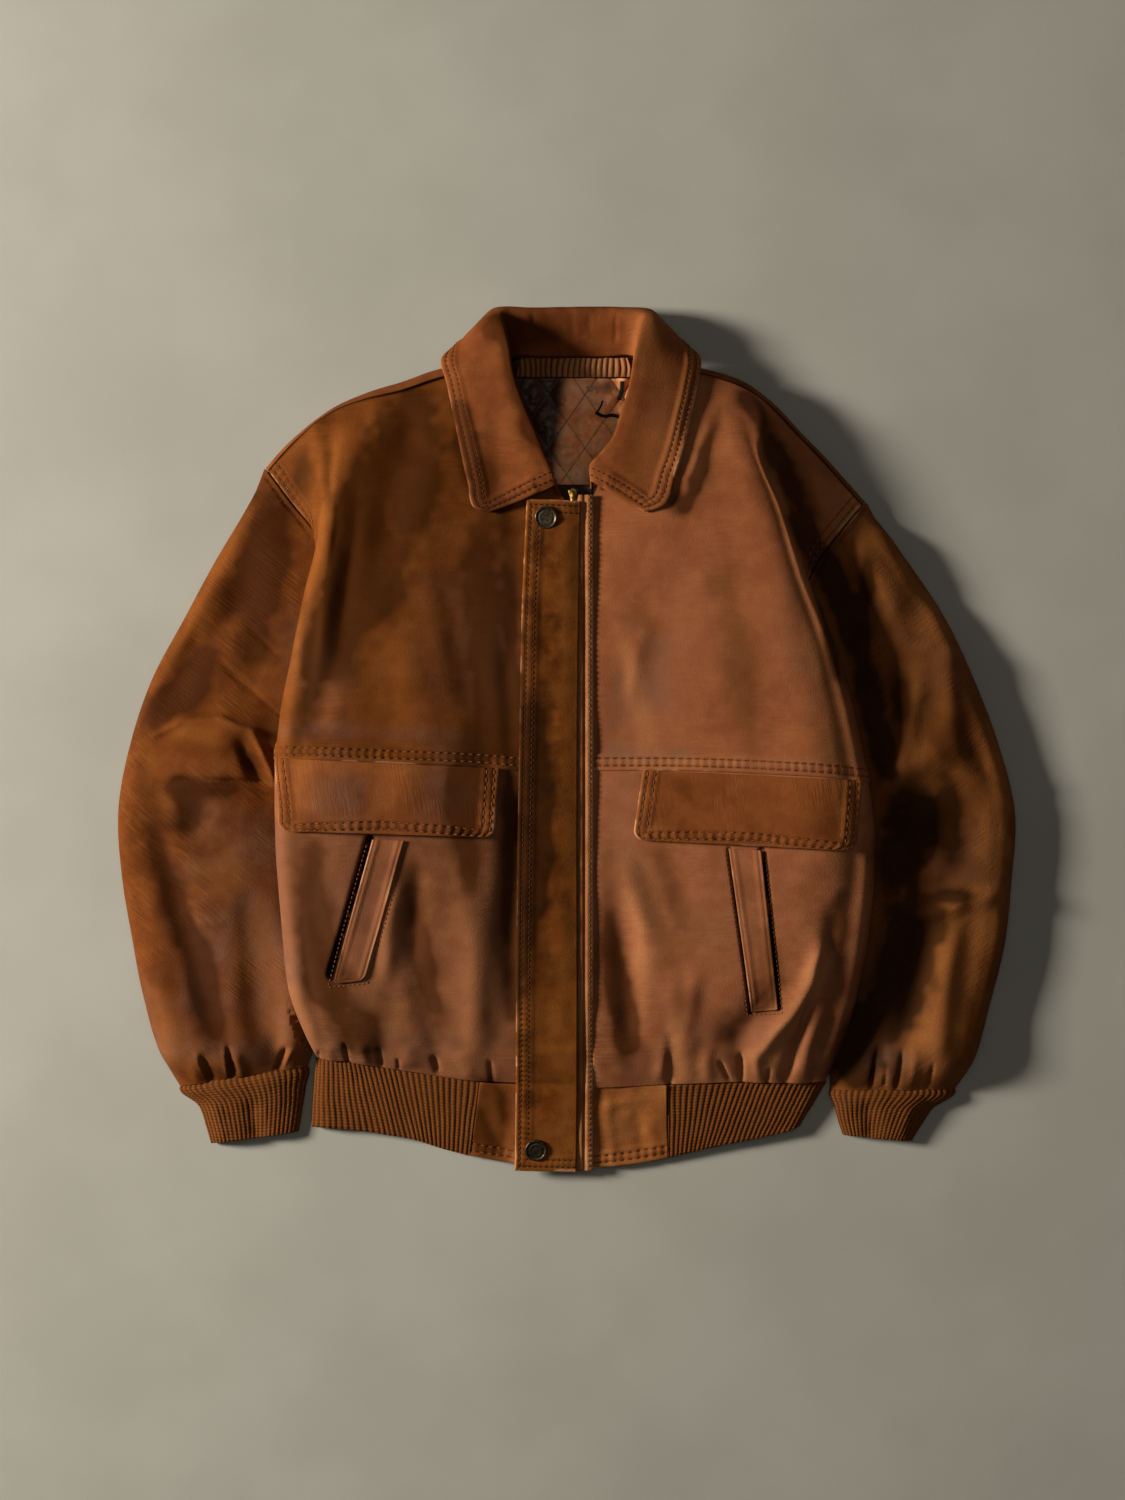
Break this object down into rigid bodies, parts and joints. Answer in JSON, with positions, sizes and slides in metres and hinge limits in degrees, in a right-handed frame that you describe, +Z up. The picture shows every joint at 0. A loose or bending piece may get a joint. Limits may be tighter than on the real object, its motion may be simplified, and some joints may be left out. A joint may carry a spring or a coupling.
{
  "type": "leather jacket",
  "caption": "Worn brown leather blouson laid flat on its back, with a shirt collar, a snapped storm fly over its zip, flap and welt pockets, and a rib-knit hem and cuffs.",
  "frame": {"origin": "centre of the footprint, on the surface that the jacket lies on", "axes": "+X to the wearer's left, +Y to the collar, +Z up from the surface"},
  "size_m": [0.742, 0.7138, 0.0693],
  "materials": {
    "front_upper_right": "waxy, scuffed",
    "front_upper_left": "waxy, scuffed",
    "front_lower_right": "waxy, scuffed",
    "front_lower_left": "waxy, scuffed",
    "back_panel": "waxy, scuffed",
    "sleeve_right": "waxy, scuffed",
    "sleeve_left": "waxy, scuffed",
    "cuff_right": "rib knit",
    "cuff_left": "rib knit",
    "collar": "waxy, worn at the edges",
    "hem_rib": "rib knit",
    "hem_tab_right": "waxy, scuffed",
    "hem_tab_left": "waxy, scuffed",
    "edge_strip_left": "waxy, topstitched",
    "zip_tape": "woven tape",
    "zip_chain": "worn",
    "zip_slider": "worn",
    "fly": "nubuck",
    "pocket_flap_right": "waxy, puckered topstitching",
    "pocket_flap_left": "waxy, puckered topstitching",
    "pocket_welt_right": "waxy",
    "pocket_welt_left": "waxy",
    "snap_top": "dark bronze plate",
    "snap_bottom": "dark bronze plate",
    "lining_back": "quilted satin",
    "neck_binding": "gathered"
  },
  "bodies": {
    "root": {"front_upper_right": "front_upper_right", "front_upper_left": "front_upper_left", "front_lower_right": "front_lower_right", "front_lower_left": "front_lower_left", "back_panel": "back_panel", "sleeve_right": "sleeve_right", "sleeve_left": "sleeve_left", "cuff_right": "cuff_right", "cuff_left": "cuff_left", "collar": "collar", "hem_rib": "hem_rib", "hem_tab_right": "hem_tab_right", "hem_tab_left": "hem_tab_left", "edge_strip_left": "edge_strip_left", "zip_tape": "zip_tape", "zip_chain": "zip_chain", "zip_slider": "zip_slider", "fly": "fly", "pocket_flap_right": "pocket_flap_right", "pocket_flap_left": "pocket_flap_left", "pocket_welt_right": "pocket_welt_right", "pocket_welt_left": "pocket_welt_left", "snap_top": "snap_top", "snap_bottom": "snap_bottom", "lining_back": "lining_back", "neck_binding": "neck_binding"}
  },
  "joints": []
}
